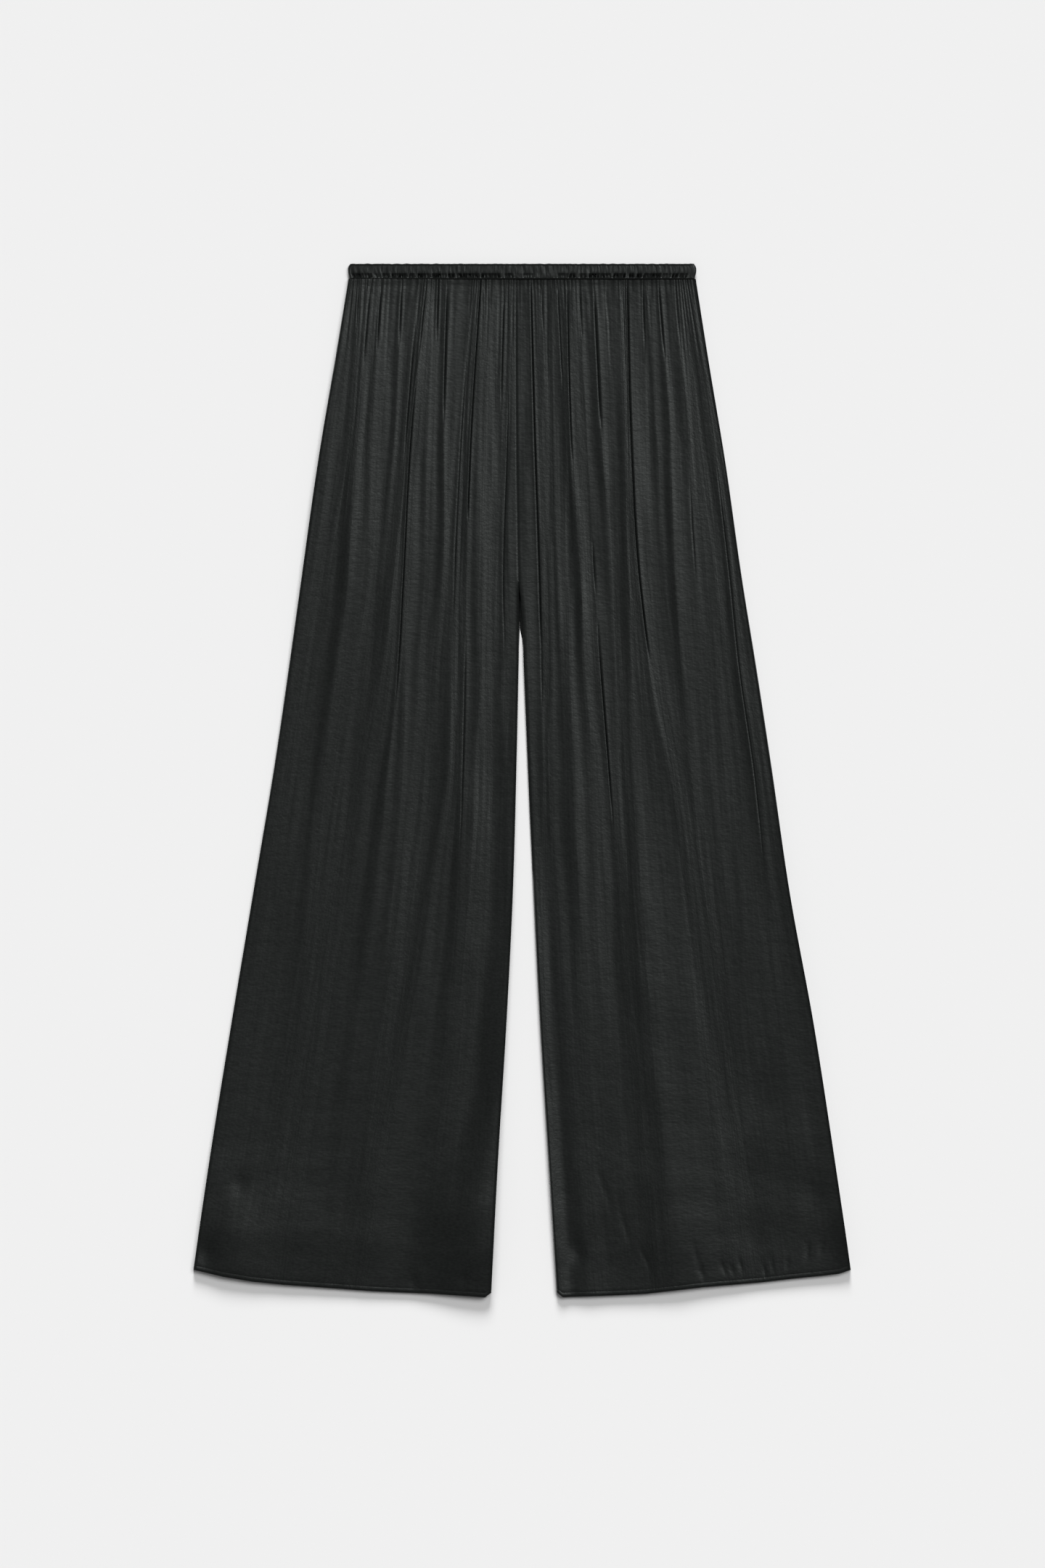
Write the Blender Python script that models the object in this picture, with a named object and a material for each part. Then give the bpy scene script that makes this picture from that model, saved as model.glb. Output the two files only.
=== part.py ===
"""Palazzo pants in satin, laid flat with the front up and the waist elastic relaxed.

Sizes are in millimetres, and MM turns them into Blender's metres where a point is placed.
Frame: +Z up off the surface, +Y towards the waist, +X towards the wearer's left leg.
The origin is the middle of the laid garment, on the surface.
"down" is the distance below the waist's top edge, and "out" the distance from X = 0 towards
the side seam of a leg. Left and right are the wearer's.

Each leg is a front panel and a back panel. The back panels lie flat on the surface, the front
panels lie on them in gathers and folds, and one elastic casing closes the waist in a ring.
Every piece is a wall of its own, and a seam is a gap of SEAM_GAP between two walls.
"""

from collections import namedtuple

import bmesh
import bpy
import numpy as np

MM = 0.001

# Driving dimensions of the laid garment.
LENGTH = 1053.0  # waist's top edge to the hem's lowest point
BAND_HEIGHT = 15.2
BAND_HALF_WIDTH = 178.5
FRONT_RISE = 333.0  # waist's top edge to the crotch point of the front
BACK_RISE = 371.0
FORK_DOWN = 400.0  # where the inseams have parted fully

# The walls and what lies between them.
WALL = 1.2
SEAM_GAP = 0.3
HEM_TURN = 4.5  # height of the turned hem
HEM_EXTRA = 0.5  # what the turned hem adds to the wall
HEM_STEP = 1.5  # length of the slope up to the turned hem
EDGE_ROLL = 14.0  # how far in from a folded edge the front reaches its full height

# The elastic casing.
BAND_WALL = 3.0
BAND_HOLLOW = 0.5  # between its front half and its back half
BAND_RIBS = 56  # ruches along the front half
RIB_DEPTH = 0.55
RIB_COLUMNS = 3  # columns of the mesh to a ruche
BAND_BACK_COLUMNS = 14
BAND_END_COLUMNS = 4

# The gathers under the casing: each stretch between two folds holds this many.
GATHERS_PER_FOLD = 2
GATHER_DEPTH = 1.9
GATHER_FADE = 42.0  # distance down in which a gather loses two thirds of its depth

SATIN_BLACK = (0.020, 0.022, 0.021)
BAND_BLACK = (0.023, 0.025, 0.024)

Side = namedtuple("Side", "down right left")

# Side seams: distance out of each.
SIDE_SEAM = (
    Side(down=16, right=177.2, left=177.2),
    Side(down=100, right=191.1, left=190.4),
    Side(down=200, right=207.8, left=207.0),
    Side(down=323, right=225.3, left=224.6),
    Side(down=400, right=236.2, left=237.0),
    Side(down=508, right=252.0, left=253.5),
    Side(down=640, right=274.0, left=272.6),
    Side(down=774, right=296.4, left=297.1),
    Side(down=907, right=317.8, left=317.8),
    Side(down=1025, right=335.0, left=335.0),
    Side(down=1053, right=338.9, left=338.9),
)

# Inseams, below the fork of the legs: distance out of each.
INSEAM = (
    Side(down=400, right=3.3, left=1.2),
    Side(down=508, right=5.6, left=5.6),
    Side(down=640, right=9.3, left=11.4),
    Side(down=774, right=15.9, left=18.1),
    Side(down=907, right=24.1, left=26.3),
    Side(down=1053, right=31.6, left=35.4),
)

# The centre seam leans a little towards the wearer's right.
Seam = namedtuple("Seam", "down x")
CENTRE_SEAM = (
    Seam(down=0, x=-6.0),
    Seam(down=200, x=-5.4),
    Seam(down=333, x=-3.3),
    Seam(down=400, x=-1.6),
)

# The hem's curve: how far it rises above its lowest point, by the share of the way out.
Hem = namedtuple("Hem", "share right left")
HEM_RISE = (
    Hem(share=0.00, right=5.0, left=5.0),
    Hem(share=0.02, right=0.0, left=0.0),
    Hem(share=0.20, right=3.6, left=1.9),
    Hem(share=0.30, right=4.7, left=3.5),
    Hem(share=0.40, right=6.1, left=7.0),
    Hem(share=0.50, right=8.4, left=10.4),
    Hem(share=0.60, right=10.6, left=12.8),
    Hem(share=0.70, right=12.8, left=15.3),
    Hem(share=0.80, right=15.9, left=18.9),
    Hem(share=0.90, right=21.0, left=21.8),
    Hem(share=0.96, right=25.3, left=24.0),
    Hem(share=1.00, right=28.1, left=28.1),
)

# How high the front's crests stand over its folded edges.
Crest = namedtuple("Crest", "down height")
CRESTS = (
    Crest(down=16, height=3.2),
    Crest(down=60, height=3.6),
    Crest(down=175, height=3.8),
    Crest(down=323, height=3.7),
    Crest(down=508, height=3.1),
    Crest(down=693, height=2.5),
    Crest(down=1053, height=2.2),
)

# The long folds of each front panel, from the centre out. The first six numbers are the distance
# out of the fold's line at LEVELS, and the last six its depth there.
LEVELS = (16, 175, 323, 508, 693, 1053)
Fold = namedtuple(
    "Fold",
    "waist hip crotch thigh knee hem at_waist at_hip at_crotch at_thigh at_knee at_hem",
)
RIGHT_FOLDS = (
    Fold(18.9, 16.6, 23.3, 27.0, 35.2, 52.9, 1.6, 1.8, 1.2, 0.9, 0.6, 0.4),
    Fold(33.7, 38.1, 47.0, 52.9, 61.8, 84.0, 1.0, 0.6, 1.6, 1.4, 1.2, 0.7),
    Fold(46.3, 52.2, 60.3, 66.2, 81.8, 103.2, 2.4, 3.2, 2.2, 1.8, 1.4, 0.6),
    Fold(57.4, 61.1, 68.5, 79.6, 94.4, 121.0, 1.6, 1.8, 1.4, 0.9, 0.6, 0.3),
    Fold(77.3, 81.0, 87.0, 89.9, 107.7, 140.2, 2.4, 3.0, 1.4, 1.0, 0.8, 0.6),
    Fold(92.9, 97.3, 104.0, 126.2, 139.5, 183.2, 1.0, 0.8, 1.0, 1.7, 1.4, 0.7),
    Fold(104.7, 113.6, 121.7, 139.5, 162.4, 206.8, 1.8, 3.2, 3.2, 2.4, 1.2, 0.4),
    Fold(126.2, 132.8, 138.0, 166.1, 190.6, 232.7, 2.2, 1.8, 2.0, 1.4, 0.8, 0.4),
    Fold(144.7, 152.1, 162.4, 187.6, 209.8, 258.6, 1.2, 1.0, 0.6, 0.4, 0.4, 0.5),
    Fold(161.0, 170.6, 186.9, 209.8, 229.0, 284.5, 1.4, 1.6, 2.2, 1.6, 1.0, 0.5),
)
LEFT_FOLDS = (
    Fold(8.5, 12.2, 16.7, 25.5, 29.2, 41.1, 2.4, 3.4, 3.4, 1.8, 1.2, 0.6),
    Fold(22.6, 32.2, 39.6, 46.3, 56.6, 64.0, 1.0, 0.8, 1.0, 1.2, 1.0, 0.6),
    Fold(47.0, 48.5, 52.9, 66.2, 71.4, 87.7, 2.4, 2.8, 1.6, 1.4, 0.8, 0.5),
    Fold(58.1, 62.5, 74.4, 87.7, 99.5, 122.5, 1.6, 1.0, 1.8, 2.4, 1.4, 0.6),
    Fold(74.4, 79.6, 87.7, 101.0, 109.9, 137.3, 2.0, 2.8, 1.0, 0.6, 0.6, 0.5),
    Fold(93.6, 101.0, 106.2, 112.9, 123.2, 152.1, 1.2, 1.2, 1.2, 1.2, 1.0, 0.7),
    Fold(104.7, 109.9, 119.5, 128.4, 142.5, 176.5, 2.6, 3.4, 3.4, 1.8, 0.8, 0.4),
    Fold(122.5, 128.4, 136.5, 148.4, 166.9, 207.6, 1.6, 1.0, 0.8, 0.9, 0.8, 0.6),
    Fold(139.5, 147.6, 152.8, 169.1, 189.1, 237.2, 2.2, 2.4, 1.6, 1.0, 0.6, 0.5),
    Fold(161.7, 165.4, 178.0, 209.8, 223.9, 270.5, 1.8, 1.6, 1.4, 1.6, 1.0, 0.6),
)

# Rows of each panel's mesh: distances down as far as the crotch, then equal steps to the hem.
GATHERED_ROWS = (15.5, 22, 34, 50, 75)
FRONT_ROWS = (*GATHERED_ROWS, 105, 137, 170, 205, 240, 275, 310, FRONT_RISE, 371, FORK_DOWN)
FRONT_STEPS = 10
BACK_ROWS = (15.5, 100, 200, 323, BACK_RISE, BACK_RISE + 6, FORK_DOWN)
BACK_STEPS = 6
FOLD_COLUMNS = 4  # columns to a stretch between two folds; twice that where it is gathered
BACK_COLUMNS = 6


def curve_at(places, values, place):
    """The smooth curve through values at places, read at place; past its ends it stays level."""
    slopes = np.gradient(values, places)
    place = min(max(place, places[0]), places[-1])
    k = min(max(int(np.searchsorted(places, place)) - 1, 0), len(places) - 2)
    span = places[k + 1] - places[k]
    t = (place - places[k]) / span
    return (
        values[k] * (1 + 2 * t) * (1 - t) ** 2
        + slopes[k] * span * t * (1 - t) ** 2
        + values[k + 1] * t * t * (3 - 2 * t)
        - slopes[k + 1] * span * t * t * (1 - t)
    )


def column(table, name):
    return np.array([getattr(row, name) for row in table], float)


def smooth_step(value):
    t = min(max(value, 0.0), 1.0)
    return t * t * (3 - 2 * t)


def roll(distance):
    """0 at a folded edge, and 1 from EDGE_ROLL in, along a rounded shoulder."""
    t = min(max(distance / EDGE_ROLL, 0.0), 1.0)
    return 1 - (1 - t) ** 2


class Leg:
    """One leg's outline and folds; side is 1 for the wearer's left and -1 for the right."""

    def __init__(self, name, side, folds):
        self.name = name
        self.side = side
        self.folds = folds

    def read(self, table, down):
        return curve_at(column(table, "down"), column(table, self.name), down)

    def side_seam(self, down):
        return self.read(SIDE_SEAM, down)

    def inner_edge(self, down, rise):
        """The centre seam as far as rise, then the inseam, which parts from it down to the fork."""
        seam_x = curve_at(column(CENTRE_SEAM, "down"), column(CENTRE_SEAM, "x"), down)
        seam = self.side * seam_x + SEAM_GAP / 2
        if down <= rise:
            return seam
        if down >= FORK_DOWN:
            return self.read(INSEAM, down)
        opened = 1 - (1 - (down - rise) / (FORK_DOWN - rise)) ** 2
        return seam + (self.read(INSEAM, FORK_DOWN) - seam) * opened

    def hem_down(self, share):
        rise = np.interp(share, column(HEM_RISE, "share"), column(HEM_RISE, self.name))
        return LENGTH - rise

    def lines(self, down):
        """Distance out of the inner edge, each fold and the side seam, at this distance down."""
        folds = [curve_at(LEVELS, fold[:6], down) for fold in self.folds]
        return [self.inner_edge(down, FRONT_RISE), *folds, self.side_seam(down)]

    def groove(self, line, down):
        if 0 < line <= len(self.folds):
            return curve_at(LEVELS, self.folds[line - 1][6:], down)
        return 0.0

    def front_height(self, across, down):
        """Height of the front's underside over its folded edges; across counts the lines."""
        line = min(int(across), len(self.folds))
        part = across - line
        near, far = max(1 - 2 * part, 0), max(2 * part - 1, 0)
        depth = self.groove(line, down) * near**2 + self.groove(line + 1, down) * far**2
        fade = np.exp(-(down - BAND_HEIGHT) / GATHER_FADE)
        wave = 0.5 + 0.5 * np.cos(2 * np.pi * GATHERS_PER_FOLD * part)
        crest = curve_at(column(CRESTS, "down"), column(CRESTS, "height"), down)
        height = max(crest - depth - GATHER_DEPTH * fade * wave, 0.1)

        lines = self.lines(down)
        out = np.interp(across, range(len(lines)), lines)
        parted = smooth_step((down - FRONT_RISE + 30) / 90)
        inner = 1 - parted * (1 - roll(out - lines[0]))
        return height * inner * roll(lines[-1] - out)

    def front_slope(self, across, down):
        """The steeper of the front's slopes to the two sides, from one column to the next."""
        step = 0.5 / FOLD_COLUMNS if down < GATHERED_ROWS[-1] else 1 / FOLD_COLUMNS
        ends = [min(max(across + move, 0), len(self.folds) + 1) for move in (-step, 0, step)]
        lines = self.lines(down)
        outs = np.interp(ends, range(len(lines)), lines)
        heights = [self.front_height(end, down) for end in ends]
        rises, runs = np.abs(np.diff(heights)), np.diff(outs)
        return max(rise / run for rise, run in zip(rises, runs) if run > 0)


LEGS = (Leg("right", -1, RIGHT_FOLDS), Leg("left", 1, LEFT_FOLDS))


def point(leg, out, down, height):
    return leg.side * out * MM, (LENGTH / 2 - down) * MM, height * MM


def hem_turn(to_hem):
    """What the turned hem adds to a wall this far above the hem's edge."""
    return HEM_EXTRA * min(max((HEM_TURN + HEM_STEP - to_hem) / HEM_STEP, 0.0), 1.0)


def row_downs(upper, steps, hem):
    """The distances down of a panel's rows, where the hem is this far down."""
    turn = hem - HEM_TURN
    return [*upper, *np.linspace(upper[-1], turn - HEM_STEP, steps + 1)[1:], turn, hem]


def unit_sheet(columns, rows):
    """A flat grid over x = 0 to columns and y = 0 to rows, ready to be shaped."""
    mesh = bmesh.new()
    bmesh.ops.create_grid(mesh, x_segments=columns, y_segments=rows, size=0.5)
    bmesh.ops.translate(mesh, verts=mesh.verts, vec=(0.5, 0.5, 0))
    bmesh.ops.scale(mesh, verts=mesh.verts, vec=(columns, rows, 1))
    return mesh


def split_columns(mesh, last_row):
    """Halves the columns of a sheet from its first row to last_row."""
    edges = [
        edge
        for edge in mesh.edges
        if abs(edge.verts[0].co.y - edge.verts[1].co.y) < 0.01
        and edge.verts[0].co.y < last_row + 0.01
    ]
    bmesh.ops.subdivide_edges(mesh, edges=edges, cuts=1, use_single_edge=True)


def face_outwards(mesh):
    bmesh.ops.recalc_face_normals(mesh, faces=mesh.faces)
    if mesh.calc_volume(signed=True) < 0:
        bmesh.ops.reverse_faces(mesh, faces=mesh.faces)
    return mesh


def wall_of(mesh, place):
    """Makes a sheet a closed wall: place turns (x, y) and 0 below or 1 above into a point."""
    bmesh.ops.triangulate(mesh, faces=mesh.faces)
    raised = bmesh.ops.extrude_face_region(mesh, geom=mesh.faces[:], use_keep_orig=True)
    upper = [item for item in raised["geom"] if isinstance(item, bmesh.types.BMVert)]
    bmesh.ops.translate(mesh, verts=upper, vec=(0, 0, 1))
    for vertex in mesh.verts:
        vertex.co = place(*vertex.co)
    return face_outwards(mesh)


def front_panel(leg):
    """The gathered and folded front of one leg, with more columns where the gathers are."""
    stretches = len(leg.folds) + 1
    mesh = unit_sheet(stretches * FOLD_COLUMNS, len(FRONT_ROWS) + FRONT_STEPS + 1)
    split_columns(mesh, len(GATHERED_ROWS) - 1)

    def place(x, y, above):
        across = x / FOLD_COLUMNS
        at_hem = leg.lines(LENGTH)
        out_at_hem = np.interp(across, range(len(at_hem)), at_hem)
        hem = leg.hem_down((out_at_hem - at_hem[0]) / (at_hem[-1] - at_hem[0]))
        down = row_downs(FRONT_ROWS, FRONT_STEPS, hem)[round(y)]
        lines = leg.lines(down)
        turn = hem_turn(hem - down)
        height = WALL + turn + SEAM_GAP + leg.front_height(across, down)
        if above:
            height += (WALL + turn) * np.hypot(1, leg.front_slope(across, down))
        return point(leg, np.interp(across, range(len(lines)), lines), down, height)

    return wall_of(mesh, place)


def back_panel(leg):
    """The back of one leg, flat on the surface, with its longer rise."""
    mesh = unit_sheet(BACK_COLUMNS, len(BACK_ROWS) + BACK_STEPS + 1)

    def place(x, y, above):
        share = x / BACK_COLUMNS
        hem = leg.hem_down(share)
        down = row_downs(BACK_ROWS, BACK_STEPS, hem)[round(y)]
        inner = leg.inner_edge(down, BACK_RISE)
        out = inner + (leg.side_seam(down) - inner) * share
        height = above * (WALL + hem_turn(hem - down))
        return point(leg, out, down, height)

    return wall_of(mesh, place)


# The casing's section, from its top edge over the outer side to its lower edge and back inside:
# distance down, how far outside the wall's middle on the front half and on the back half, and
# the share of a ruche's depth.
Section = namedtuple("Section", "down front back ribs")
BAND_SECTION = (
    Section(down=0.0, front=-0.6, back=-0.6, ribs=0.1),
    Section(down=0.6, front=0.9, back=1.5, ribs=0.5),
    Section(down=3.4, front=1.5, back=1.5, ribs=0.7),
    Section(down=9.2, front=1.5, back=1.5, ribs=0.8),
    Section(down=11.4, front=0.8, back=1.5, ribs=1.0),
    Section(down=14.4, front=1.0, back=1.5, ribs=0.8),
    Section(down=15.2, front=0.2, back=0.6, ribs=0.3),
    Section(down=14.2, front=-1.5, back=-1.5, ribs=0.0),
    Section(down=1.2, front=-1.5, back=-1.5, ribs=0.0),
)


BAND_RADIUS = (BAND_WALL + BAND_HOLLOW) / 2  # of the wall's middle where the ring turns back
BAND_STRAIGHT = BAND_HALF_WIDTH - BAND_RADIUS - BAND_WALL / 2


def band_stations():
    """Stations round the flattened ring: x, angle outwards in degrees, and depth of a ruche."""
    columns = BAND_RIBS * RIB_COLUMNS
    stations = []
    for k in range(columns + 1):
        ruche = RIB_DEPTH if k % RIB_COLUMNS == 0 else 0.0
        stations.append((BAND_STRAIGHT * (1 - 2 * k / columns), 90, ruche))
    for k in range(1, BAND_END_COLUMNS):
        stations.append((-BAND_STRAIGHT, 90 + 180 * k / BAND_END_COLUMNS, 0.0))
    for k in range(BAND_BACK_COLUMNS + 1):
        stations.append((BAND_STRAIGHT * (2 * k / BAND_BACK_COLUMNS - 1), 270, 0.0))
    for k in range(1, BAND_END_COLUMNS):
        stations.append((BAND_STRAIGHT, 270 + 180 * k / BAND_END_COLUMNS, 0.0))
    return stations


def waistband():
    """One ruched elastic casing in a ring, flattened: a section carried round its path."""
    stations = band_stations()
    mesh = unit_sheet(len(stations), len(BAND_SECTION))
    for vertex in mesh.verts:
        x, turn, ruche = stations[round(vertex.co.x) % len(stations)]
        section = BAND_SECTION[round(vertex.co.y) % len(BAND_SECTION)]
        angle = np.radians(turn)
        front = 0.5 + 0.5 * np.sin(angle)
        off = section.front * front + section.back * (1 - front) - ruche * section.ribs
        reach = BAND_RADIUS + off
        vertex.co = (
            (x + reach * np.cos(angle)) * MM,
            (LENGTH / 2 - section.down) * MM,
            (BAND_WALL / 2 + BAND_RADIUS + reach * np.sin(angle)) * MM,
        )
    bmesh.ops.remove_doubles(mesh, verts=mesh.verts, dist=0.01 * MM)
    return face_outwards(mesh)


def satin(name, colour, roughness):
    material = bpy.data.materials.new(name)
    material.use_nodes = True
    shader = material.node_tree.nodes["Principled BSDF"]
    shader.inputs["Base Color"].default_value = (*colour, 1)
    shader.inputs["Roughness"].default_value = roughness
    shader.inputs["Metallic"].default_value = 0.0
    shader.inputs["Sheen Weight"].default_value = 0.2
    return material


def add_piece(name, mesh, collection, material):
    data = bpy.data.meshes.new(name)
    mesh.to_mesh(data)
    mesh.free()
    data.materials.append(material)
    data.shade_smooth()
    data.set_sharp_from_angle(angle=np.radians(50))
    collection.objects.link(bpy.data.objects.new(name, data))


def main():
    for obj in list(bpy.data.objects):
        bpy.data.objects.remove(obj)
    garment = bpy.data.collections.new("palazzo_pants")
    bpy.context.scene.collection.children.link(garment)

    for leg in LEGS:
        cloth = satin(f"satin_back_{leg.name}", SATIN_BLACK, 0.42)
        add_piece(f"back_leg_{leg.name}", back_panel(leg), garment, cloth)
        cloth = satin(f"satin_front_{leg.name}", SATIN_BLACK, 0.42)
        add_piece(f"front_leg_{leg.name}", front_panel(leg), garment, cloth)
    ruched = satin("satin_waistband", BAND_BLACK, 0.5)
    add_piece("waistband", waistband(), garment, ruched)


main()
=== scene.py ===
# %% [markdown]
# # Palazzo pants, laid flat
# Palazzo pants are trousers with very wide legs. This pair is cut from a light black satin. Four
# panels make it: two fronts and two backs, sewn at the side seams, the inseams and the centre
# seam, and gathered at the waist onto a narrow elastic in a casing.
# The pair lies flat with its front up, so the cloth can be made as a height over the surface: for
# each point of a panel, how high it lies. Folds, gathers and puckers are then lines along which
# the height drops. That is much easier to steer than a cloth simulation, and it gives the same
# result on every run.
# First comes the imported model, which fixes where everything lies.

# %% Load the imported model
import math
import random
from collections import namedtuple

import bmesh
import bpy
import numpy as np
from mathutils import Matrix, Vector, noise


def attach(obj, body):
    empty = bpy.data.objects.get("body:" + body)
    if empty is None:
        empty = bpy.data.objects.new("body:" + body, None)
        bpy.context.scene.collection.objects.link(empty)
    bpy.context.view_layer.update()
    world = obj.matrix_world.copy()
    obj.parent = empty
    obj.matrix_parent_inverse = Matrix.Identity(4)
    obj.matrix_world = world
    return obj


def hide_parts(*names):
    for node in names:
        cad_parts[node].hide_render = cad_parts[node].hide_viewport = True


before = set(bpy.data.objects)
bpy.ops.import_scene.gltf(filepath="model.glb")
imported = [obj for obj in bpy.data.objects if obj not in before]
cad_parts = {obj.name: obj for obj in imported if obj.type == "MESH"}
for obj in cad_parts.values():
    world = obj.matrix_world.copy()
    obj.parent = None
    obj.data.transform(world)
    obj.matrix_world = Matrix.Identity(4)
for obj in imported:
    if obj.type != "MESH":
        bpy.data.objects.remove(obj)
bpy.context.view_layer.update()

MM = 0.001
print("nodes:", sorted(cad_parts))

# %% [markdown]
# ## Camera, floor and light
# The camera looks straight down from 5.8 m with a long lens, so that the legs aren't drawn
# narrower towards the hems. The image is 1440 x 2160, and its height spans 1.6 m of the surface.
# The pale floor is lit by distant lamps, which light all of it evenly. A distant lamp with a wide
# angle is a large soft light far away. One stands nearly overhead and a little towards +X: cloth
# that tips that way mirrors it and shines, level cloth mirrors its edge, and cloth that tips the
# other way mirrors the dim room and turns dark. That draws the folds. The other stands low behind
# the waist, and gives the hem its soft shadow.

# %% Camera
FRAME_HEIGHT = 1598.4  # mm of the surface from the image's lower edge to its upper edge
LENS = 130.0
SENSOR = 36.0
CENTRE = (0.4, -3.3)  # mm, what the camera points at

camera_data = bpy.data.cameras.new("camera")
camera_data.lens = LENS
camera_data.sensor_width = SENSOR
camera = bpy.data.objects.new("camera", camera_data)
camera.location = (CENTRE[0] * MM, CENTRE[1] * MM, FRAME_HEIGHT * MM * LENS / SENSOR)
bpy.context.scene.collection.objects.link(camera)
bpy.context.scene.camera = camera
bpy.context.scene.view_settings.view_transform = "Standard"
print("camera height:", round(camera.location.z, 3), "m")


# %% Colours and nodes
def linear(hex_colour):
    """An sRGB colour such as "f0f0f0" as the linear red, green, blue and alpha of a node."""
    parts = [int(hex_colour[k : k + 2], 16) / 255 for k in (0, 2, 4)]
    return (*[p / 12.92 if p <= 0.04045 else ((p + 0.055) / 1.055) ** 2.4 for p in parts], 1.0)


def add_node(tree, kind, inputs=None, **settings):
    """Adds a node with its settings. Each input is a value, or another node's output to link."""
    node = tree.nodes.new(kind)
    for name, value in settings.items():
        setattr(node, name, value)
    for name, value in (inputs or {}).items():
        if isinstance(value, bpy.types.NodeSocket):
            tree.links.new(value, node.inputs[name])
        else:
            node.inputs[name].default_value = value
    return node


# %% Floor
# Matt white studio paper on a table. Its grain is too fine to show, so it is one plain colour.
PAPER_WHITE = "f2f2f2"
FLOOR_REACH = 12.0  # m, from the middle of the floor to each side
FLOOR_GAP = 0.0002  # m, from the floor up to the garment

paper = bpy.data.materials.new("matt_white_studio_paper")
paper.use_nodes = True
paper_shader = paper.node_tree.nodes["Principled BSDF"]
paper_shader.inputs["Base Color"].default_value = linear(PAPER_WHITE)
paper_shader.inputs["Roughness"].default_value = 1.0
paper_shader.inputs["Specular IOR Level"].default_value = 0.0

floor_mesh = bmesh.new()
bmesh.ops.create_grid(floor_mesh, x_segments=1, y_segments=1, size=FLOOR_REACH)
floor_data = bpy.data.meshes.new("floor")
floor_mesh.to_mesh(floor_data)
floor_mesh.free()
floor_data.materials.append(paper)
floor = bpy.data.objects.new("floor", floor_data)
floor.location.z = -FLOOR_GAP
bpy.context.scene.collection.objects.link(floor)
print("paper:", PAPER_WHITE, "as linear light:", [round(v, 3) for v in linear(PAPER_WHITE)[:3]])

# %% Light
# A lamp's tilt is its angle from overhead towards the waist, and side its angle towards +X.
Lamp = namedtuple("Lamp", "name tilt side width strength")
LAMPS = (
    Lamp("lamp_overhead", tilt=22, side=21, width=30, strength=1.36),
    Lamp("lamp_low", tilt=66, side=0, width=20, strength=3.38),
)
ROOM_LIGHT = 0.17

for lamp in LAMPS:
    light = bpy.data.lights.new(lamp.name, "SUN")
    light.angle = math.radians(lamp.width)
    light.energy = lamp.strength
    holder = bpy.data.objects.new(lamp.name, light)
    holder.rotation_euler = (-math.radians(lamp.tilt), math.radians(lamp.side), 0)
    bpy.context.scene.collection.objects.link(holder)

world = bpy.data.worlds.new("room")
world.use_nodes = True
world.node_tree.nodes["Background"].inputs["Strength"].default_value = ROOM_LIGHT
world.node_tree.nodes["Background"].inputs["Color"].default_value = (1, 1, 1, 1)
bpy.context.scene.world = world
print("lamps:", [lamp.name for lamp in LAMPS])

# %% [markdown]
# ## The outline of the garment
# Every edge of the laid garment is a smooth curve through a few measured places. "down" is the
# distance below the waist's top edge, and "out" the distance from the middle of the garment
# towards the side seam of a leg, both in millimetres. Left and right are the wearer's.
# The curves pass through the places and stay level past the ends. The CAD bodies follow the same
# places, so each panel lies where the body that it stands for does.

# %% Curves through measured places
LENGTH = 1053.0
BAND_HEIGHT = 15.2
BAND_HALF_WIDTH = 178.5
FRONT_RISE = 333.0
BACK_RISE = 371.0
FORK_DOWN = 400.0


def curve_at(places, values, at):
    """The smooth curve through values at places, read at every number of the array at."""
    places, values = np.asarray(places, float), np.asarray(values, float)
    slopes = np.gradient(values, places)
    at = np.clip(at, places[0], places[-1])
    k = np.clip(np.searchsorted(places, at) - 1, 0, len(places) - 2)
    span = places[k + 1] - places[k]
    t = (at - places[k]) / span
    return (
        values[k] * (1 + 2 * t) * (1 - t) ** 2
        + slopes[k] * span * t * (1 - t) ** 2
        + values[k + 1] * t * t * (3 - 2 * t)
        - slopes[k + 1] * span * t * t * (1 - t)
    )


def column(table, name):
    """One named column of a table as an array."""
    return np.array([getattr(row, name) for row in table], float)


def smooth_step(value):
    """0 up to a value of 0, 1 from a value of 1, and a soft S between them."""
    t = np.clip(value, 0.0, 1.0)
    return t * t * (3 - 2 * t)


print("the curve through 0, 1 and 4, halfway from 1 to 4:", curve_at((0, 1, 2), (0, 1, 4), 1.5))

# %% Seams and hem
Side = namedtuple("Side", "down right left")
SIDE_SEAM = (
    Side(down=16, right=177.2, left=177.2),
    Side(down=100, right=191.1, left=190.4),
    Side(down=200, right=207.8, left=207.0),
    Side(down=323, right=225.3, left=224.6),
    Side(down=400, right=236.2, left=237.0),
    Side(down=508, right=252.0, left=253.5),
    Side(down=640, right=274.0, left=272.6),
    Side(down=774, right=296.4, left=297.1),
    Side(down=907, right=317.8, left=317.8),
    Side(down=1025, right=335.0, left=335.0),
    Side(down=1053, right=338.9, left=338.9),
)
INSEAM = (
    Side(down=400, right=3.3, left=1.2),
    Side(down=508, right=5.6, left=5.6),
    Side(down=640, right=9.3, left=11.4),
    Side(down=774, right=15.9, left=18.1),
    Side(down=907, right=24.1, left=26.3),
    Side(down=1053, right=31.6, left=35.4),
)
Seam = namedtuple("Seam", "down x")
CENTRE_SEAM = (
    Seam(down=0, x=-6.0),
    Seam(down=200, x=-5.4),
    Seam(down=333, x=-3.3),
    Seam(down=400, x=-1.6),
)
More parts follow.
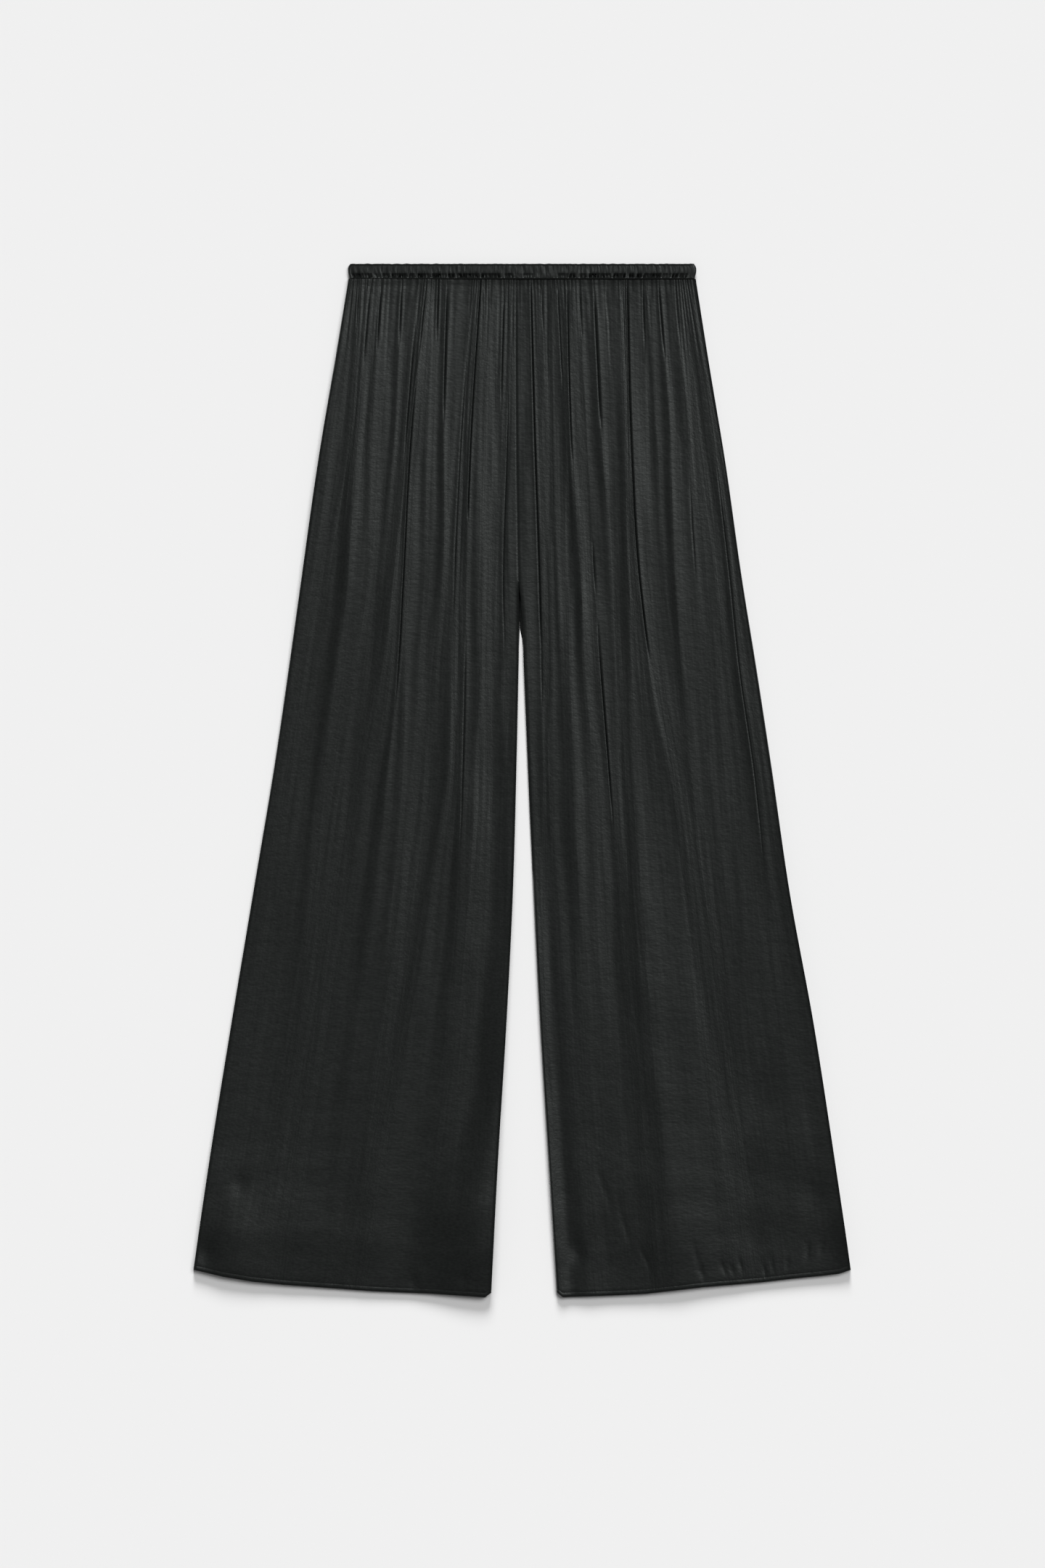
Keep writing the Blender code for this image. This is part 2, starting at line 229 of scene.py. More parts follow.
# How far the hem rises above its lowest point, by the share of the way out to the side seam.
Hem = namedtuple("Hem", "share right left")
HEM_RISE = (
    Hem(share=0.00, right=5.0, left=5.0),
    Hem(share=0.02, right=0.0, left=0.0),
    Hem(share=0.20, right=3.6, left=1.9),
    Hem(share=0.30, right=4.7, left=3.5),
    Hem(share=0.40, right=6.1, left=7.0),
    Hem(share=0.50, right=8.4, left=10.4),
    Hem(share=0.60, right=10.6, left=12.8),
    Hem(share=0.70, right=12.8, left=15.3),
    Hem(share=0.80, right=15.9, left=18.9),
    Hem(share=0.90, right=21.0, left=21.8),
    Hem(share=0.96, right=25.3, left=24.0),
    Hem(share=1.00, right=28.1, left=28.1),
)


def side_seam(leg, down):
    """Distance out of the leg's outer edge."""
    return curve_at(column(SIDE_SEAM, "down"), column(SIDE_SEAM, leg.name), down)


def inner_edge(leg, down, rise):
    """The centre seam as far as rise, then the inseam, which parts from it down to the fork."""
    seam = leg.side * curve_at(column(CENTRE_SEAM, "down"), column(CENTRE_SEAM, "x"), down)
    inseam = curve_at(column(INSEAM, "down"), column(INSEAM, leg.name), down)
    opened = 1 - (1 - np.clip((down - rise) / (FORK_DOWN - rise), 0, 1)) ** 2
    return seam + (inseam - seam) * opened


print("right leg opening:", round(SIDE_SEAM[-1].right - INSEAM[-1].right, 1), "mm")

# %% [markdown]
# ## The folds of the fronts
# Under an elastic waist the spare width of the cloth falls in soft folds, which run down the
# legs, spread with the flare and fade. They all lie over to the same side. Going towards +X, the
# cloth rises over a band as far as the fold's line, and then falls again, quickly at first and
# then slowly. Where a fold is tight, the cloth tucks under at the line and leaves a slit.
# Each row below is one fold. It gives how far out its line is at seven distances down, how high
# the fold is there, and how wide its band is at the hips, the thighs and the knees.

# %% Tables of the folds
LEVELS = (16, 175, 323, 410, 508, 693, 1053)
BAND_LEVELS = (175, 508, 700)
Fold = namedtuple(
    "Fold",
    "waist hip crotch fork thigh knee hem"
    " at_waist at_hip at_crotch at_fork at_thigh at_knee at_hem"
    " band_hip band_thigh band_knee",
)
FOLD_LINE, FOLD_HEIGHT, FOLD_BAND = slice(0, 7), slice(7, 14), slice(14, 17)
RIGHT_FOLDS = (
    Fold(10, 12, 14, 12, 13, 19, 42, 0.2, 0.3, 0.4, 0.2, 0.0, 0.0, 0.0, 3, 3, 3),
    Fold(13, 15, 19, 18, 20, 26, 52, 0.1, 0.2, 0.4, 0.9, 0.6, 0.0, 0.0, 3, 9, 9),
    Fold(18, 22, 25, 27, 29, 35, 60, 0.3, 0.1, 0.1, 0.0, 0.0, 0.0, 0.0, 3, 3, 3),
    Fold(34, 37, 39, 39, 42, 52, 85, 0.3, 0.1, 0.0, 0.0, 0.0, 0.0, 0.0, 4, 4, 4),
    Fold(38, 42, 44, 44, 47, 58, 98, 0.2, 0.6, 1.2, 1.2, 1.4, 1.5, 0.2, 8, 10, 24),
    Fold(42, 52, 57, 58, 60, 70, 116, 0.5, 0.9, 1.0, 0.8, 1.0, 0.8, 0.0, 7, 7, 8),
    Fold(51, 62, 69, 72, 74, 102, 160, 0.3, 0.4, 0.5, 0.9, 1.5, 1.4, 0.0, 4, 12, 11),
    Fold(76, 80, 81, 90, 95, 116, 172, 0.7, 1.2, 1.0, 0.3, 0.0, 0.0, 0.0, 6, 8, 8),
    Fold(85, 90, 94, 99, 104, 124, 178, 0.3, 0.1, 0.0, 0.0, 0.0, 0.0, 0.0, 3, 3, 3),
    Fold(90, 97, 100, 106, 111, 130, 184, 0.1, 0.4, 0.5, 0.2, 0.0, 0.0, 0.0, 5, 5, 5),
    Fold(94, 105, 113, 118, 122, 137, 192, 0.1, 0.3, 0.3, 0.4, 0.9, 0.5, 0.0, 4, 6, 6),
    Fold(97, 113, 121, 126, 136, 158, 204, 0.4, 0.8, 0.8, 0.8, 1.2, 1.0, 0.2, 4, 6, 12),
    Fold(105, 118, 131, 140, 158, 184, 236, 0.4, 0.9, 1.5, 0.9, 0.4, 0.1, 0.0, 7, 15, 15),
    Fold(122, 130, 142, 152, 168, 196, 250, 0.5, 0.8, 0.2, 0.0, 0.0, 0.0, 0.0, 6, 6, 6),
    Fold(143, 153, 159, 172, 188, 212, 268, 0.4, 0.6, 0.2, 0.0, 0.0, 0.1, 0.0, 6, 6, 6),
    Fold(154, 167, 178, 188, 203, 225, 285, 0.5, 0.9, 1.9, 1.9, 1.3, 0.4, 0.0, 11, 11, 7),
    Fold(166, 176, 199, 213, 228, 252, 308, 0.5, 0.4, 0.1, 0.0, 0.0, 0.0, 0.0, 5, 5, 5),
)
LEFT_FOLDS = (
    Fold(9, 13, 18, 20, 21, 23, 45, 0.3, 0.5, 0.4, 0.5, 0.8, 0.3, 0.0, 4, 6, 8),
    Fold(20, 24, 28, 29, 30, 39, 66, 0.3, 0.1, 0.1, 0.3, 0.5, 0.9, 1.0, 4, 6, 13),
    Fold(30, 32, 36, 39, 43, 50, 76, 0.1, 0.2, 0.4, 0.4, 0.2, 0.0, 0.0, 2, 3, 3),
    Fold(36, 43, 45, 48, 53, 60, 88, 0.4, 0.3, 0.1, 0.6, 1.7, 0.8, 0.0, 4, 14, 12),
    Fold(46, 50, 60, 64, 71, 81, 108, 0.5, 1.2, 1.7, 1.3, 0.6, 0.1, 0.0, 8, 7, 7),
    Fold(58, 66, 74, 80, 88, 101, 130, 0.3, 0.2, 0.3, 0.3, 0.5, 0.6, 0.0, 3, 4, 5),
    Fold(73, 81, 91, 95, 99, 110, 138, 0.8, 1.3, 0.5, 0.1, 0.0, 0.0, 0.0, 9, 8, 8),
    Fold(85, 92, 98, 102, 105, 116, 145, 0.3, 0.1, 0.0, 0.0, 0.0, 0.0, 0.0, 4, 4, 4),
    Fold(99, 105, 108, 112, 114, 126, 157, 0.4, 1.2, 1.5, 1.0, 0.9, 2.1, 1.1, 9, 8, 27),
    Fold(107, 111, 120, 131, 148, 169, 208, 0.4, 0.5, 1.0, 0.9, 0.9, 0.4, 0.0, 4, 20, 24),
    Fold(123, 128, 135, 144, 158, 181, 222, 0.3, 0.0, 0.0, 0.0, 0.0, 0.0, 0.0, 3, 3, 3),
    Fold(128, 137, 146, 155, 165, 187, 229, 0.3, 0.5, 0.4, 0.0, 0.0, 0.0, 0.0, 6, 6, 6),
    Fold(139, 151, 156, 164, 173, 194, 237, 0.5, 1.2, 1.2, 0.9, 0.4, 0.1, 0.0, 6, 10, 10),
    Fold(156, 168, 177, 184, 191, 205, 250, 0.5, 0.9, 0.3, 0.1, 0.4, 0.4, 0.0, 8, 6, 6),
    Fold(162, 178, 196, 203, 212, 226, 270, 0.3, 0.1, 0.1, 0.0, 0.0, 0.3, 0.0, 5, 8, 12),
    Fold(168, 194, 212, 221, 235, 254, 300, 0.4, 0.6, 1.0, 1.0, 0.9, 0.2, 0.0, 8, 5, 5),
)
Leg = namedtuple("Leg", "name side folds")
LEGS = (Leg("right", -1, RIGHT_FOLDS), Leg("left", 1, LEFT_FOLDS))
print("folds:", {leg.name: len(leg.folds) for leg in LEGS})

# %% [markdown]
# A slit runs along part of a fold's line, and the lines are counted from 0 at the middle of the
# garment. Its ends are distances down, and it fades in and out over the length that fade gives.
# Below the fork a front also rises towards its inseam, from outer, where the slope begins, to
# inner, where it has its full rise.

# %% Tables of the slits and of the slope at the inseams
Slit = namedtuple("Slit", "fold start end depth fade")
SLITS = {
    "right": (
        Slit(fold=1, start=130, end=400, depth=0.5, fade=60),
        Slit(fold=2, start=16, end=150, depth=0.7, fade=40),
        Slit(fold=3, start=16, end=60, depth=0.3, fade=20),
        Slit(fold=5, start=16, end=257, depth=1.1, fade=8),
        Slit(fold=5, start=375, end=600, depth=0.5, fade=60),
        Slit(fold=6, start=90, end=360, depth=0.4, fade=60),
        Slit(fold=7, start=16, end=165, depth=0.9, fade=40),
        Slit(fold=8, start=16, end=80, depth=0.4, fade=30),
        Slit(fold=11, start=16, end=95, depth=0.6, fade=40),
        Slit(fold=11, start=115, end=450, depth=1.0, fade=60),
        Slit(fold=12, start=60, end=200, depth=0.7, fade=40),
        Slit(fold=13, start=16, end=85, depth=0.8, fade=30),
        Slit(fold=14, start=16, end=90, depth=0.8, fade=30),
        Slit(fold=15, start=16, end=105, depth=0.5, fade=30),
        Slit(fold=16, start=16, end=70, depth=0.4, fade=30),
    ),
    "left": (
        Slit(fold=0, start=16, end=395, depth=1.4, fade=40),
        Slit(fold=0, start=380, end=450, depth=0.5, fade=30),
        Slit(fold=1, start=24, end=70, depth=0.4, fade=20),
        Slit(fold=3, start=20, end=135, depth=0.5, fade=30),
        Slit(fold=4, start=16, end=205, depth=1.0, fade=40),
        Slit(fold=5, start=16, end=80, depth=0.5, fade=30),
        Slit(fold=5, start=285, end=337, depth=0.6, fade=20),
        Slit(fold=5, start=365, end=575, depth=1.1, fade=60),
        Slit(fold=6, start=28, end=172, depth=1.0, fade=30),
        Slit(fold=7, start=16, end=60, depth=0.4, fade=20),
        Slit(fold=9, start=16, end=403, depth=1.5, fade=40),
        Slit(fold=10, start=18, end=90, depth=0.6, fade=30),
        Slit(fold=12, start=16, end=100, depth=0.9, fade=30),
        Slit(fold=13, start=20, end=80, depth=0.4, fade=30),
        Slit(fold=13, start=225, end=320, depth=0.4, fade=40),
        Slit(fold=15, start=205, end=612, depth=0.5, fade=60),
    ),
}
Slope = namedtuple("Slope", "down outer inner rise")
INSEAM_SLOPE = {
    "right": (
        Slope(down=400, outer=16, inner=4, rise=0.0),
        Slope(down=508, outer=28, inner=6, rise=1.4),
        Slope(down=600, outer=30, inner=8, rise=2.0),
        Slope(down=693, outer=36, inner=11, rise=2.8),
        Slope(down=760, outer=46, inner=15, rise=3.6),
        Slope(down=870, outer=60, inner=22, rise=4.6),
        Slope(down=920, outer=90, inner=28, rise=6.4),
        Slope(down=960, outer=112, inner=36, rise=8.2),
        Slope(down=1000, outer=120, inner=40, rise=7.6),
        Slope(down=1053, outer=118, inner=40, rise=3.4),
    ),
    "left": (
        Slope(down=200, outer=14, inner=0, rise=0.0),
        Slope(down=323, outer=16, inner=2, rise=0.7),
        Slope(down=400, outer=17, inner=4, rise=0.7),
        Slope(down=508, outer=18, inner=7, rise=0.3),
        Slope(down=693, outer=31, inner=14, rise=1.3),
        Slope(down=870, outer=42, inner=24, rise=1.9),
        Slope(down=960, outer=46, inner=28, rise=2.6),
        Slope(down=1053, outer=52, inner=35, rise=2.0),
    ),
}
print("slits:", {name: len(slits) for name, slits in SLITS.items()})

# %% [markdown]
# ## One grid for each panel
# A panel is a flat grid with a column line on every fold, so that each fold is a clean edge
# of the mesh, however it runs. A wide stretch between two folds gets more columns than a narrow
# one. The rows are close together under the waist, where the gathers are, and at the hem.
# The grid is extruded into a second skin, which makes a closed wall, and then each corner is
# moved to its place by its column, row and skin.

# %% From a grid to a finished piece
def unit_grid(columns, rows):
    """A flat grid of this many faces across and along, with a corner at every whole number."""
    mesh = bmesh.new()
    bmesh.ops.create_grid(mesh, x_segments=columns, y_segments=rows, size=0.5)
    bmesh.ops.translate(mesh, verts=mesh.verts, vec=(0.5, 0.5, 0))
    bmesh.ops.scale(mesh, verts=mesh.verts, vec=(columns, rows, 1))
    return mesh


def piece_from(mesh, name, sharp_angle):
    """The closed bmesh as an object: faces outwards, and smooth up to this angle in degrees."""
    bmesh.ops.recalc_face_normals(mesh, faces=mesh.faces)
    if mesh.calc_volume(signed=True) < 0:
        bmesh.ops.reverse_faces(mesh, faces=mesh.faces)
    data = bpy.data.meshes.new(name)
    mesh.to_mesh(data)
    mesh.free()
    data.shade_smooth()
    data.set_sharp_from_angle(angle=math.radians(sharp_angle))
    piece = bpy.data.objects.new(name, data)
    bpy.context.scene.collection.objects.link(piece)
    return piece


# %% A closed wall of cloth
WALL = 0.5
CLOTH_SHARP_ANGLE = 60


def cloth_wall(name, out, down, low, high, side, fabric_out):
    """A closed wall of cloth. The arrays hold a value for each row and column of its grid."""
    rows, columns = out.shape
    mesh = unit_grid(columns - 1, rows - 1)
    raised = bmesh.ops.extrude_face_region(mesh, geom=mesh.faces[:], use_keep_orig=True)
    upper = [item for item in raised["geom"] if isinstance(item, bmesh.types.BMVert)]
    bmesh.ops.translate(mesh, verts=upper, vec=(0, 0, 1))
    fabric = mesh.loops.layers.uv.new("fabric")
    for face in mesh.faces:
        for loop in face.loops:
            c, r = round(loop.vert.co.x), round(loop.vert.co.y)
            loop[fabric].uv = (fabric_out[c] * MM, down[r, c] * MM)
    for vertex in mesh.verts:
        c, r = round(vertex.co.x), round(vertex.co.y)
        height = high[r, c] if vertex.co.z > 0.5 else low[r, c]
        x, y = side * out[r, c], LENGTH / 2 - down[r, c]
        vertex.co = (x * MM, y * MM, height * MM)
    return piece_from(mesh, name, CLOTH_SHARP_ANGLE)


# %% Rows
PANEL_TOP = 15.4  # the panels start under the casing's lower edge
HEM_TURN = 5.2
HEM_ROWS = (6.2, 5.7, 5.2, 4.7, 4.2, 3.0, 1.8, 1.0, 0.4, 0.0)  # distances above the hem's edge
HEM_ZONE_STEP = 3  # the rows just above those are about this far apart


def panel_rows(first, growth, widest, hem_zone):
    """Distances down of the rows, growing apart from the waist and close together at the hem."""
    rows = [PANEL_TOP]
    step = first
    while rows[-1] + step < LENGTH - hem_zone:
        rows.append(rows[-1] + step)
        step = min(step * growth, widest)
    count = round(hem_zone / HEM_ZONE_STEP)
    rows.extend(np.linspace(rows[-1], LENGTH - HEM_ROWS[0], count)[1:-1])
    return np.array([*rows, *(LENGTH - above for above in HEM_ROWS)])


FRONT_ROWS = panel_rows(first=1.1, growth=1.035, widest=7.0, hem_zone=60)
print("rows of a front:", len(FRONT_ROWS))

# %% Columns
COLUMN_WIDTH = 1.4
BY_FOLD = (0.15, 1.0, 1.9)  # columns this far from a fold's line, on both sides of it
BY_FOLD_REACH = 0.4  # but within this share of the way to the next line
MEAN_OF = 12  # how many places down give the mean distance between two lines


def fold_lines(leg, down):
    """Distance out of the inner edge, of each fold's line and of the side seam, at every down."""
    lines = [curve_at(LEVELS, fold[FOLD_LINE], down) for fold in leg.folds]
    return [inner_edge(leg, down, FRONT_RISE), *lines, side_seam(leg, down)]


def panel_columns(leg):
    """For each column of the grid, which line it follows and how far it is to the next line."""
    lines = [np.mean(line) for line in fold_lines(leg, np.linspace(LEVELS[0], LENGTH, MEAN_OF))]
    columns = []
    for k, width in enumerate(np.diff(lines)):
        near = [0.0, *(place / width for place in BY_FOLD if place < BY_FOLD_REACH * width)]
        between = 1 - 2 * near[-1]
        count = max(round(between * width / COLUMN_WIDTH), 2)
        middle = [near[-1] + between * step / count for step in range(1, count)]
        far = [1 - part for part in reversed(near[1:])]
        columns.extend((k, part) for part in [*near, *middle, *far])
    return [*columns, (len(lines) - 2, 1.0)]


print("columns:", {leg.name: len(panel_columns(leg)) for leg in LEGS})

# %% Corners of the grid
CURVE_START = 640  # the rows begin to follow the hem's curve here
CURVE_END = LENGTH - HEM_TURN - 2  # and follow it fully from here
CURVE_POWER = 1.6


def hem_shift(leg, share, down):
    """How far each point moves up for the hem's curve: all of it at the hem, none at the knee."""
    rise = np.interp(share, column(HEM_RISE, "share"), column(HEM_RISE, leg.name))
    follows = np.clip((down - CURVE_START) / (CURVE_END - CURVE_START), 0, 1) ** CURVE_POWER
    return rise[None, :] * follows


def panel_grid(leg):
    """The distance down of the straight rows, then out and down of every corner, and the lines."""
    columns = panel_columns(leg)
    straight = np.tile(FRONT_ROWS[:, None], (1, len(columns)))
    at_hem = fold_lines(leg, np.array([LENGTH]))
    hem_out = np.array([at_hem[k][0] * (1 - part) + at_hem[k + 1][0] * part for k, part in columns])
    share = (hem_out - hem_out[0]) / (hem_out[-1] - hem_out[0])
    down = straight - hem_shift(leg, share, straight)
    lines = fold_lines(leg, down)
    out = np.empty_like(down)
    for c, (k, part) in enumerate(columns):
        out[:, c] = lines[k][:, c] * (1 - part) + lines[k + 1][:, c] * part
    return straight, out, down, lines


# %% [markdown]
# ## How high the fronts lie
# The cloth starts from a base height. The folds and the slope at the inseam stand up from it. The
# slits go down from it, and so do the dips between the small gathers, which end within 120 mm of
# the casing. Single swells, hollows, creases and puckers have a table of their own. Slow waves
# come on top, because cloth never lies quite level.

# %% Height of the folds
Level = namedtuple("Level", "down base crest soft quick slow")
# The cloth's base height, what the heights of the folds are multiplied by, how softly a fold
# turns over at its line, the share of its height that it loses at once behind the line, and the
# distance over which it loses the rest.
ALONG = (
    Level(down=16, base=2.5, crest=1.0, soft=0.6, quick=0.4, slow=26),
    Level(down=22, base=2.1, crest=1.0, soft=0.6, quick=0.4, slow=26),
    Level(down=40, base=1.8, crest=1.0, soft=0.7, quick=0.4, slow=26),
    Level(down=175, base=1.8, crest=0.95, soft=1.0, quick=0.4, slow=26),
    Level(down=323, base=1.9, crest=0.95, soft=2.0, quick=0.35, slow=26),
    Level(down=508, base=2.2, crest=0.95, soft=3.5, quick=0.3, slow=26),
    Level(down=693, base=2.8, crest=1.2, soft=5.5, quick=0.15, slow=44),
    Level(down=920, base=3.8, crest=1.6, soft=8.0, quick=0.1, slow=80),
    Level(down=1053, base=4.1, crest=1.7, soft=9.0, quick=0.1, slow=80),
)
KNEE = LEVELS[5]
SINKING = 2.2  # the larger, the sooner a fold sinks below the knee
NEAR_CASING = ((16, 110), (0.5, 1.0))  # places down, and the share of its height a fold has there


def along(name, down):
    """One column of the table ALONG, read at every down."""
    return np.interp(down, column(ALONG, "down"), column(ALONG, name))


def fold_rise(fold, down):
    """How high a fold is at every down. Below the knee it soon sinks to its height at the hem."""
    rise = np.maximum(curve_at(LEVELS, fold[FOLD_HEIGHT], down), 0)
    left = np.clip((LENGTH - down) / (LENGTH - KNEE), 0, 1) ** SINKING
    rise = np.where(down < KNEE, rise, fold.at_hem + (fold.at_knee - fold.at_hem) * left)
    return rise * np.interp(down, *NEAR_CASING)


for leg in LEGS:
    heights = [float(fold_rise(fold, FRONT_RISE)) for fold in leg.folds]
    print(leg.name, "highest fold at the crotch:", round(max(heights), 1), "mm")

# %% Shape of a fold across its line
QUICK_WITHIN = 6.0
SOFTEST = 0.35  # a fold turns over at least this softly, as a share of its band's width
SOFTENING = ((-1.0, 0.11), (-0.5, 0.22), (0.0, 0.34), (0.5, 0.22), (1.0, 0.11))
Uneven = namedtuple("Uneven", "amount length start")
WANDER = Uneven(amount=0.5, length=60, start=0.3)  # of a fold's line, in shares of its softness
SWELL = Uneven(amount=0.5, length=80, start=4.3)  # of a fold's height, in shares of it
SLIT_REACH = 0.9
SLIT_LEAD = 4  # a slit starts to open this far above its start


def noise_at(x, y, seat):
    """Smooth noise between -1 and 1. Each seat has a pattern of its own."""
    return noise.noise(Vector((x, y, seat)))


def unevenness(kind, down, seat):
    """How far a fold strays from its table, one number for each row of the grid."""
    return np.array([noise_at(v / kind.length, kind.start, seat) for v in down[:, 0]])[:, None]


def fold_profile(past, band, quick, slow):
    """A fold's height across it as a share, from the distance past its line towards +X."""
    before = np.clip(1 + past / band, 0, 1)
    behind = quick * np.clip(1 - past / QUICK_WITHIN, 0, 1) ** 2
    behind += (1 - quick) * np.clip(1 - past / slow, 0, 1)
    return np.where(past < 0, before, behind)


def fold_height(leg, out, down, lines):
    """How far all folds together lift each corner."""
    total = np.zeros_like(out)
    crest, softly, quick, slow = (along(name, down) for name in ("crest", "soft", "quick", "slow"))
    for index, (fold, line) in enumerate(zip(leg.folds, lines[1:-1])):
        band = np.interp(down, BAND_LEVELS, fold[FOLD_BAND])
        soft = np.maximum(softly, SOFTEST * band)
        seat = 10 * leg.side + index
        strays = WANDER.amount * softly * unevenness(WANDER, down, seat)
        past = leg.side * (out - line) + strays
        swollen = 1 + SWELL.amount * unevenness(SWELL, down, seat)
        rise = crest * fold_rise(fold, down) * swollen
        for shift, weight in SOFTENING:
            total += rise * weight * fold_profile(past + soft * shift, band, quick, slow)
    return total


def slit_depth(leg, out, down, lines):
    """How deep the slits cut in at each corner."""
    total = np.zeros_like(out)
    for slit in SLITS[leg.name]:
        away = np.abs(out - lines[1 + slit.fold])
        from_start, from_end = down - slit.start + SLIT_LEAD, slit.end - down
        open_share = np.clip(np.minimum(from_start / slit.fade, from_end / slit.fade), 0, 1)
        total += slit.depth * open_share * np.clip(1 - away / SLIT_REACH, 0, 1)
    return total


def inseam_rise(leg, out, down):
    """The swell of the cloth towards the inseam."""
    table = INSEAM_SLOPE[leg.name]
    outer, inner, rise = (
        curve_at(column(table, "down"), column(table, name), down)
        for name in ("outer", "inner", "rise")
    )
    return rise * smooth_step((outer - out) / (outer - inner))


left_share = fold_profile(past=QUICK_WITHIN, band=8, quick=0.4, slow=26)
print("share of a fold's height that is left past its quick fall:", round(float(left_share), 2))

# %% Gathers
# The casing is shorter than the cloth that is sewn to it. The spare width stands in small
# gathers with a dip between each two. The dips are one to three millimetres apart and run out at
# different lengths, most of them short. A pair of numbers is a range to draw from.
GATHER_SPACING = 2.3
GATHER_STEPS = (0.6, 1.4)  # shares of the spacing
GATHER_MARGIN = 2.0  # none is nearer to a seam
GATHER_LENGTH = 14  # of the shortest one
GATHER_EXTRA = 100  # what the longest one has more than that
GATHER_SKEW = 2.2  # the larger, the more of them are short
GATHER_DEPTHS = (0.2, 0.55)
GATHER_REACH = 1.2
GATHER_REACHES = (0.8, 1.3)  # shares of the reach
GATHER_FADE = 0.7  # the smaller, the longer a dip stays deep before it ends
GATHER_ROW = 4  # the row of the grid on which the places are measured
GATHER_SEED = 11
print("gathers in 100 mm of the waist: about", round(100 / GATHER_SPACING))


def gather_dips(leg, out, down):
    """How deep the dips between the gathers are at each corner."""
    dice = random.Random(GATHER_SEED + leg.side)
    total = np.zeros_like(out)
    from_seam = out[GATHER_ROW] - out[GATHER_ROW][0]
    place = GATHER_MARGIN
    while place < from_seam[-1] - GATHER_MARGIN:
        c = int(np.argmin(np.abs(from_seam - place)))
        length = GATHER_LENGTH + GATHER_EXTRA * dice.random() ** GATHER_SKEW
        depth = dice.uniform(*GATHER_DEPTHS)
        fade = np.clip(1 - (down - BAND_HEIGHT) / length, 0, 1) ** GATHER_FADE
        reach = GATHER_REACH * dice.uniform(*GATHER_REACHES)
        away = np.abs(out - out[:, c : c + 1])
        total += depth * fade * np.clip(1 - away / reach, 0, 1)
        place += GATHER_SPACING * dice.uniform(*GATHER_STEPS)
    return total


# %% Swells, hollows and creases
# A mark is a soft swell of the cloth, or with a negative rise a hollow, a crease or a short
# pucker where the machine pulled the hem. Its length runs down the leg and turns with turn,
# which is in degrees.
Mark = namedtuple("Mark", "out down length width rise turn", defaults=(0,))
MARKS = {
    "right": (
        Mark(out=200, down=180, length=560, width=120, rise=4.4),
        Mark(out=231, down=370, length=700, width=22, rise=1.2, turn=-8),
        Mark(out=150, down=940, length=160, width=24, rise=1.3, turn=-6),
        Mark(out=300, down=990, length=220, width=100, rise=2.6),
        Mark(out=290, down=1010, length=90, width=26, rise=2.0),
        Mark(out=322, down=1008, length=26, width=9, rise=-1.3),
        Mark(out=288, down=937, length=20, width=9, rise=-0.8, turn=10),
        Mark(out=230, down=985, length=160, width=30, rise=1.0, turn=84),
        Mark(out=110, down=1038, length=12, width=5, rise=-0.6),
        Mark(out=60, down=1033, length=10, width=5, rise=-0.5),
        Mark(out=95, down=960, length=70, width=1.6, rise=-0.25, turn=92),
    ),
    "left": (
        Mark(out=252, down=485, length=1100, width=14, rise=1.0, turn=-9),
        Mark(out=340, down=640, length=700, width=160, rise=4.2),
        Mark(out=192, down=60, length=200, width=18, rise=0.8),
        Mark(out=152, down=990, length=170, width=50, rise=2.8),
        Mark(out=336, down=988, length=60, width=15, rise=3.2),
        Mark(out=56, down=1006, length=26, width=8, rise=-1.6),
        Mark(out=240, down=845, length=60, width=16, rise=-0.9),
        Mark(out=295, down=945, length=40, width=12, rise=-0.8),
        Mark(out=104, down=978, length=36, width=2.8, rise=-0.35, turn=-15),
        Mark(out=84, down=943, length=36, width=2.8, rise=-0.35, turn=-20),
        Mark(out=179, down=1015, length=34, width=2.4, rise=-0.4, turn=-16),
        Mark(out=124, down=1010, length=24, width=2.4, rise=-0.4, turn=-25),
        Mark(out=183, down=1028, length=14, width=2.0, rise=-0.5, turn=-20),
        Mark(out=205, down=1023, length=14, width=2.0, rise=-0.4, turn=-22),
        Mark(out=214, down=1025, length=13, width=2.0, rise=-0.4, turn=-25),
        Mark(out=222, down=1018, length=14, width=2.0, rise=-0.4, turn=-15),
        Mark(out=247, down=1026, length=13, width=2.0, rise=-0.5, turn=-10),
        Mark(out=255, down=1020, length=13, width=2.0, rise=-0.4, turn=-8),
        Mark(out=270, down=1018, length=14, width=2.0, rise=-0.5, turn=12),
        Mark(out=291, down=1005, length=16, width=2.2, rise=-0.6, turn=14),
        Mark(out=305, down=1003, length=16, width=2.2, rise=-0.5, turn=14),
        Mark(out=245, down=629, length=34, width=1.6, rise=-0.25, turn=90),
    ),
}


def mark_bumps(leg, out, down):
    """How far all marks of a leg together lift each corner."""
    total = np.zeros_like(out)
    for mark in MARKS[leg.name]:
        turn = math.radians(mark.turn)
        across = (out - mark.out) * math.cos(turn) + (down - mark.down) * math.sin(turn)
        lengthwise = (down - mark.down) * math.cos(turn) - (out - mark.out) * math.sin(turn)
        fading = (across / mark.width) ** 2 + (lengthwise / mark.length * 2) ** 2
        total += mark.rise * np.exp(-fading)
    return total


print("marks:", {name: len(marks) for name, marks in MARKS.items()})

